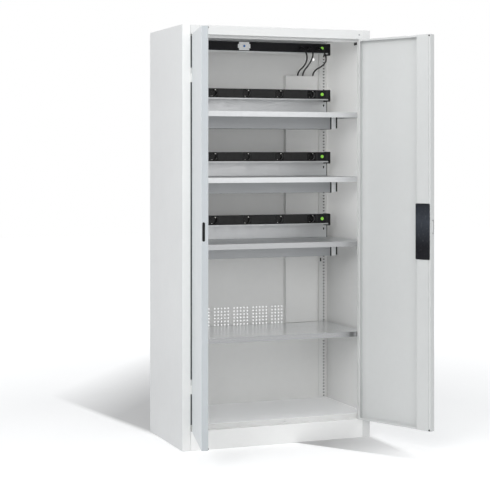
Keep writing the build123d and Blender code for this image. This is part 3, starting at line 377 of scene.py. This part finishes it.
def piece(name, corners, faces, look, slot, body="cabinet", smooth=False):
    """A mesh from corners in millimetres that moves with a body."""
    mesh = bpy.data.meshes.new(name)
    mesh.from_pydata([[v * MM for v in corner] for corner in corners], [], faces)
    mesh.update()
    if smooth:
        mesh.shade_smooth()
        mesh.set_sharp_from_angle(angle=radians(35))
    mesh.materials.append(looks[look])
    obj = bpy.data.objects.new(name, mesh)
    scene.collection.objects.link(obj)
    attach(obj, body)


BOX_FACES = ((3, 2, 1, 0), (4, 5, 6, 7), (0, 1, 5, 4), (1, 2, 6, 5), (2, 3, 7, 6), (3, 0, 4, 7))


def boxes(name, spans, look, turn=None, **how):
    """Boxes of x0, x1, y0, y1, z0, z1, turned about an upright axis x, y by an angle where given."""
    corners = []
    faces = []
    for x0, x1, y0, y1, z0, z1 in spans:
        first = len(corners)
        corners += [(x, y, z) for z in (z0, z1) for x, y in ((x0, y0), (x1, y0), (x1, y1), (x0, y1))]
        faces += [[first + corner for corner in face] for face in BOX_FACES]
    if turn:
        axis_x, axis_y, angle = turn
        spun = [swung(x - axis_x, y - axis_y, angle) for x, y, z in corners]
        corners = [(axis_x + dx, axis_y + dy, z) for (dx, dy), (x, y, z) in zip(spun, corners)]
    piece(name, corners, faces, look, **how)


def both_sides(x0, x1, *rest):
    """A box right of the middle and its mirror image on the left."""
    return [(x0, x1, *rest), (-x1, -x0, *rest)]


def border(x, z, half_w, half_h, upright_w, bar_h, y0, y1):
    """Four boxes around an opening: two uprights and the bars between them."""
    inner_w = half_w - upright_w
    inner_h = half_h - bar_h
    return [
        (x - half_w, x - inner_w, y0, y1, z - half_h, z + half_h),
        (x + inner_w, x + half_w, y0, y1, z - half_h, z + half_h),
        (x - inner_w, x + inner_w, y0, y1, z - half_h, z - inner_h),
        (x - inner_w, x + inner_w, y0, y1, z + inner_h, z + half_h),
    ]


# Radius at which a turned profile closes on its axis
AXIS_R = 0.01


def rings(name, profile, places, look, sides=48, **how):
    """Closed profiles of radius and y, turned about axes along y through the places."""
    corners = []
    faces = []
    count = len(profile)
    for x, z in places:
        first = len(corners)
        for k in range(sides):
            a = 2 * pi * k / sides
            corners += [(x + r * cos(a), y, z + r * sin(a)) for r, y in profile]
        for k in range(sides):
            near = first + k * count
            far = first + (k + 1) % sides * count
            for j in range(count):
                after = (j + 1) % count
                faces.append([near + j, near + after, far + after, far + j])
    piece(name, corners, faces, look, smooth=sides > 12, **how)


# Fronts of the socket strips: blank plates between the sockets, rims, bright tips of the earth clips
# and switch bezels
STRIP_FACE = 75.0
TOP_STRIP = 1885.0
STRIP_PITCH = 310.0
STRIPS = [1655.0 - i * STRIP_PITCH for i in range(3)]
SOCKET_PITCH = 172.0
SOCKETS = [-378.0 + i * SOCKET_PITCH for i in range(5)]
SWITCH = 368.0
PLATE_START = 22.4
PLATE_PITCH = 42.8
PLATE_W = 41.6
PLATE_T = 0.35
PLATE_HALF_H = 20.4
PLATES_BY_SWITCH = [(332.4, 345.8), (390.2, 401.6)]
TIP_X = (6.2, 10.6)
TIP_Y = (STRIP_FACE + 0.6, STRIP_FACE + 1.4)
TIP_Z = (12.6, 16.2)

plate_starts = [x + PLATE_START + k * PLATE_PITCH for x in SOCKETS[:-1] for k in range(3)]
plate_spans = [(start, start + PLATE_W) for start in plate_starts] + PLATES_BY_SWITCH
boxes(
    "strip_plates",
    [
        (x0, x1, STRIP_FACE - PLATE_T, STRIP_FACE, z - PLATE_HALF_H, z + PLATE_HALF_H)
        for z in STRIPS for x0, x1 in plate_spans
    ],
    "plate_black", slot="strip_black",
)


def collar(inner, outer, proud, lead, edge):
    """Profile of a rim on a strip with a short lead-in and a bevelled outer edge."""
    top = STRIP_FACE - proud
    return [
        (inner, STRIP_FACE), (inner, top + 0.4), (inner + lead, top),
        (outer - edge, top), (outer, top + edge), (outer, STRIP_FACE),
    ]


sockets_at = [(x, z) for x in SOCKETS for z in STRIPS]
switches_at = [(SWITCH, z) for z in STRIPS + [TOP_STRIP]]
rings("socket_rims", collar(19.05, 21.6, 1.3, 0.45, 0.6), sockets_at, "socket_black", slot="socket_black")
tips = [(x + TIP_X[0], x + TIP_X[1], *TIP_Y, z + TIP_Z[0], z + TIP_Z[1]) for x, z in sockets_at]
boxes("clip_tips", tips, "clip_steel", slot="clip_steel")
rings("switch_bezels", collar(8.4, 11.2, 1.6, 0.4, 0.8), switches_at, "socket_black", slot="strip_black")

# Raised frame, pad and wide button cap of the protection module
MODULE = -49.5
MODULE_FACE = 71.8
FRAME_T = 1.2
FRAME_HALF_W = 26.0
FRAME_HALF_H = 20.0
FRAME_UPRIGHT_W = 2.5
FRAME_BAR_H = 3.5
PAD_T = 0.7
CAP_R = 5.4
CAP_EDGE = 0.4
CAP_Y = (MODULE_FACE - 2.6, MODULE_FACE - 1.6)
module_spans = border(
    MODULE, TOP_STRIP, FRAME_HALF_W, FRAME_HALF_H, FRAME_UPRIGHT_W, FRAME_BAR_H, MODULE_FACE - FRAME_T,
    MODULE_FACE,
)
module_spans.append(
    (MODULE + 6, MODULE + 20, MODULE_FACE - PAD_T, MODULE_FACE, TOP_STRIP - 9, TOP_STRIP + 9)
)
boxes("module_frame", module_spans, "module_white", slot="module_white")
cap = [
    (AXIS_R, CAP_Y[0]), (CAP_R - CAP_EDGE, CAP_Y[0]), (CAP_R, CAP_Y[0] + 0.3), (CAP_R, CAP_Y[1]),
    (AXIS_R, CAP_Y[1]),
]
rings("test_cap", cap, [(MODULE, TOP_STRIP)], "button_blue", body="test_body", slot="button_blue")

# Hexagon nuts of the cable glands
GLANDS = (250.0, 291.0, 340.0)
NUT_BORE_R = 6.55
NUT_R = 8.7
NUT_Y = (70.4, 74.8)
nut = [
    (NUT_BORE_R, NUT_Y[0]), (NUT_R - 0.5, NUT_Y[0]), (NUT_R, NUT_Y[0] + 0.5), (NUT_R, NUT_Y[1]),
    (NUT_BORE_R, NUT_Y[1]),
]
nuts_at = [(x, TOP_STRIP) for x in GLANDS]
rings("gland_nuts", nut, nuts_at, "plug_black", sides=6, slot="plug_black")

# Dark sheets behind the slots of the rear supports and the keyholes: painted shade in the holes
SUPPORT_X = (428.0, 459.5)
SUPPORT_Y = (245.2, 245.6)
SUPPORT_Z = (112.0, 1888.0)
KEYHOLE_X = (397.0, 411.0)
KEYHOLE_Y = (136.8, 137.2)
KEYHOLE_BELOW_STRIP = 52.0
keyholes = []
for z in STRIPS:
    key_z = z - KEYHOLE_BELOW_STRIP
    keyholes += both_sides(*KEYHOLE_X, *KEYHOLE_Y, key_z - 14, key_z + 7)
slots = both_sides(*SUPPORT_X, *SUPPORT_Y, *SUPPORT_Z)
boxes("support_slot_shade", slots, "shadow_black", slot="plug_black")
boxes("keyhole_shade", keyholes, "shadow_black", slot="plug_black")

# Dark strips at the ends of the carriers: painted shade of the gap there
CARRIER_END_X = (419.3, 423.5)
CARRIER_END_Y = (134.6, 137.4)
CARRIER_BELOW_STRIP = 96.0
CARRIER_H = 72.0
edges = []
for z in STRIPS:
    low = z - CARRIER_BELOW_STRIP
    edges += both_sides(*CARRIER_END_X, *CARRIER_END_Y, low, low + CARRIER_H)
boxes("carrier_end_shade", edges, "gap_shade_grey", slot="plug_black")

# Dark sheet behind the strike slot, painted shade in the slot, placed on the shut left leaf and turned open
# with it
STRIKE_X = (-3.1, -2.7)
STRIKE_Y = (-248.6, -231.4)
STRIKE_Z = (979.0, 1071.0)
boxes(
    "strike_slot_shade", [(*STRIKE_X, *STRIKE_Y, *STRIKE_Z)], "shadow_black",
    turn=(-AXIS_X, AXIS_Y, -LEFT_OPEN), body="left_leaf", slot="plug_black",
)

# Rims that narrow the ventilation holes, five groups of five columns and six rows
VENT_Z = 546.0
VENT_GROUP_PITCH = 102.4
VENT_COLUMN_PITCH = 17.8
VENT_ROW_PITCH = 16.2
VENT_HALF = 4.0
VENT_RIM = 0.9
VENT_Y = (248.75, 249.6)
rims = []
for group in range(5):
    for column in range(5):
        for row in range(6):
            x = (group - 2) * VENT_GROUP_PITCH + (column - 2) * VENT_COLUMN_PITCH
            z = VENT_Z + (row - 2.5) * VENT_ROW_PITCH
            rims += border(x, z, VENT_HALF, VENT_HALF, VENT_RIM, VENT_RIM, *VENT_Y)
boxes("vent_rims", rims, "inner_paint", slot="body_paint")

# Foot of the duct, a dark strip along the left post as painted shade in the gap behind the left leaf, and
# painted face of the plug in the header
DUCT_X = (231.6, 401.4)
DUCT_Y = (216.0, 246.8)
DUCT_FOOT_Z = (505.0, 516.0)
GAP_SHADE_X = (-432.5, -412.0)
GAP_SHADE_Y = (-219.2, -217.3)
GAP_SHADE_Z = (112.0, 1900.0)
PLUG_AT = (417.0, 1928.5)
PLUG_R = 3.6
PLUG_Y = (-251.4, -250.9)
boxes("duct_foot", [(*DUCT_X, *DUCT_Y, *DUCT_FOOT_Z)], "inner_paint", slot="body_paint")
boxes("post_gap_shade", [(*GAP_SHADE_X, *GAP_SHADE_Y, *GAP_SHADE_Z)], "gap_shade_grey", slot="buffer_rubber")
plug = [
    (AXIS_R, PLUG_Y[0]), (PLUG_R - 0.3, PLUG_Y[0]), (PLUG_R, PLUG_Y[0] + 0.2), (PLUG_R, PLUG_Y[1]),
    (AXIS_R, PLUG_Y[1]),
]
rings("header_plug_face", plug, [PLUG_AT], "grey_sheet", slot="body_paint")

# Cables from the glands on the top strip down in a loop to the duct
CABLE_D = 7.5 * MM
GLAND_Y = 65.8
EXIT_RUN = 14.0
ENTRY_Y = 231.2
BOSS_TOP = 1745.0
ENTRY_RUN = 15.0
ENTRIES = (302.0, 330.0, 386.0)
LENGTHS = (0.3063, 0.2998, 0.3125)
cable_routes = [
    [
        (253, 38, 1877), (259, 29, 1863), (266, 30, 1846), (273, 44, 1830), (280, 68, 1817),
        (287, 100, 1805), (293, 136, 1795), (298, 170, 1788), (301, 197, 1783), (302, 217, 1774),
    ],
    [
        (293, 39, 1878), (297, 30, 1865), (300, 32, 1849), (302, 45, 1834), (305, 66, 1822),
        (310, 95, 1811), (316, 128, 1801), (322, 162, 1793), (327, 193, 1787), (330, 216, 1777),
    ],
    [
        (346, 38, 1879), (354, 30, 1869), (363, 29, 1855), (372, 36, 1841), (381, 53, 1828),
        (389, 79, 1817), (394, 110, 1808), (396, 143, 1800), (395, 174, 1793), (391, 201, 1786),
        (387.5, 219, 1775),
    ],
]


def cable(name, gland_x, middle, entry_x, length):
    """Smooth cord through a gland, listed points and an entry of the duct."""
    route = [(gland_x, GLAND_Y, TOP_STRIP), (gland_x, GLAND_Y - EXIT_RUN, TOP_STRIP)]
    route += middle
    route += [(entry_x, ENTRY_Y, BOSS_TOP + ENTRY_RUN), (entry_x, ENTRY_Y, BOSS_TOP)]
    curve = bpy.data.curves.new(name + "_sheath", "CURVE")
    curve.dimensions = "3D"
    curve.bevel_depth = CABLE_D / 2
    curve.bevel_resolution = 6
    curve.use_fill_caps = True
    spline = curve.splines.new("NURBS")
    spline.points.add(len(route) - 1)
    for point, (x, y, z) in zip(spline.points, route):
        point.co = (x * MM, y * MM, z * MM, 1.0)
    spline.order_u = 3
    spline.use_endpoint_u = True
    spline.resolution_u = 12
    curve.materials.append(looks["cable_black"])
    cord = bpy.data.objects.new(name + "_sheath", curve)
    scene.collection.objects.link(cord)
    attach(cord, "cabinet")
    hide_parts(name)


for number, details in enumerate(zip(GLANDS, cable_routes, ENTRIES, LENGTHS), 1):
    cable("cable_" + str(number), *details)


def seen(n):
    """1 for rays that see the background: from the camera, a reflection or through glass."""
    path = n.add("ShaderNodeLightPath").outputs
    direct = n.math("MAXIMUM", path["Is Camera Ray"], path["Is Glossy Ray"])
    return n.math("MAXIMUM", direct, path["Is Transmission Ray"])


def floor_look():
    """Pale floor with two painted soft shadows and a glow that fades it into the backdrop."""
    n, inputs = material("stage_floor")
    place = n.place()
    floor_x, floor_y = n.along(place, "X"), n.along(place, "Y")

    def plane(x_share, y_share, start):
        """A value that grows evenly over the floor."""
        sideways = n.math("MULTIPLY", floor_x, x_share)
        backwards = n.math("MULTIPLY", floor_y, y_share)
        return n.math("ADD", n.math("ADD", sideways, backwards), start)

    def product(first, *others):
        for other in others:
            first = n.math("MULTIPLY", first, other)
        return first

    # Painted shadow behind the cabinet: strength, sharp edge, then where it ends to the right and to the
    # front
    behind = product(
        n.spread(plane(0.62, -0.446, 1.08), 0.0, 0.46, 0.0, 0.46),
        n.spread(plane(1.0, 0.18, 0.445), 0.0, 1.0, -0.02, 0.03),
        n.spread(floor_x, 1.0, 0.0, 0.2, 0.5),
        n.spread(floor_y, 0.0, 1.0, 0.0, 0.2),
    )
    # Painted shadow before the right post: strength, sharp edge, then where it ends to the right and to the
    # rear
    before = product(
        n.spread(plane(-0.74, 0.74, 0.88), 0.0, 0.58, -0.06, 0.50),
        n.spread(plane(1.47, 1.0, 0.133), 0.0, 1.0, -0.015, 0.03),
        n.spread(floor_x, 1.0, 0.0, 0.46, 0.50),
        n.spread(floor_y, 1.0, 0.0, -0.26, -0.22),
    )
    shaded = n.math("SUBTRACT", n.math("SUBTRACT", 1.0, behind), before)
    grain = n.spread(n.noise(3.0, 2.0), 0.985, 1.0)
    n.feed(inputs["Base Color"], n.blend(product(grain, shaded), BLACK, (0.9, 0.9, 0.9, 1.0)))
    from_middle = n.add("ShaderNodeVectorMath", {0: n.place()}, operation="LENGTH").outputs["Value"]
    glow = product(n.spread(from_middle, 0.3, 0.6, 1.4, 4.0), shaded)
    n.feed(inputs["Emission Strength"], product(seen(n), glow))
    inputs["Emission Color"].default_value = (1, 1, 1, 1)
    inputs["Roughness"].default_value = 0.9
    inputs["Specular IOR Level"].default_value = 0.0


# Floor, a hair below the cabinet's foot
floor_mesh = bpy.data.meshes.new("stage_floor")
floor_mesh.from_pydata([(-14, -12, 0), (14, -12, 0), (14, 16, 0), (-14, 16, 0)], [], [(0, 1, 2, 3)])
floor_look()
floor_mesh.materials.append(looks["stage_floor"])
stage_floor = bpy.data.objects.new("stage_floor", floor_mesh)
stage_floor.location.z = -0.0005
scene.collection.objects.link(stage_floor)

# White backdrop that lights the cabinet as a soft grey room
world = bpy.data.worlds.new("studio")
world.use_nodes = True
n = Nodes(world.node_tree)
ambient = n.add("ShaderNodeBackground", {"Color": (0.96, 0.98, 1.0, 1.0), "Strength": 0.5})
white = n.add("ShaderNodeBackground", {"Color": (1, 1, 1, 1), "Strength": 1.0})
mixed = n.add("ShaderNodeMixShader", {0: seen(n), 1: ambient.outputs[0], 2: white.outputs[0]})
n.add("ShaderNodeOutputWorld", {"Surface": mixed.outputs[0]})
scene.world = world


def lamp(name, spot, target, size, watts, mirrored=True):
    """Square soft box at a spot, facing a target, and whether it shows in glossy faces."""
    data = bpy.data.lights.new(name, "AREA")
    data.size = size
    data.energy = watts
    obj = bpy.data.objects.new(name, data)
    obj.location = spot
    obj.visible_glossy = mirrored
    obj.visible_camera = False
    direction = Vector(target) - Vector(spot)
    obj.rotation_euler = direction.to_track_quat("-Z", "Y").to_euler()
    scene.collection.objects.link(obj)


# Soft lamps, of which the three in front don't show in the glossy faces
lamp("front", (-1.2, -6.5, 2.2), (0, 0, 1.0), 4.0, 62, mirrored=False)
lamp("front_high", (-1.2, -2.8, 3.0), (0.2, 0, 1.1), 1.2, 12, mirrored=False)
lamp("left_front", (-4.6, -4.3, 2.9), (0, 0, 1.2), 2.0, 90, mirrored=False)
lamp("left", (-3.0, -1.6, 3.4), (0, 0, 1.6), 1.6, 14)
lamp("right", (4.2, -4.0, 3.6), (0, 0, 0.8), 2.0, 50)
lamp("top", (0.0, -0.6, 4.6), (0, 0, 0.8), 2.4, 20)

scene.view_settings.view_transform = "Standard"
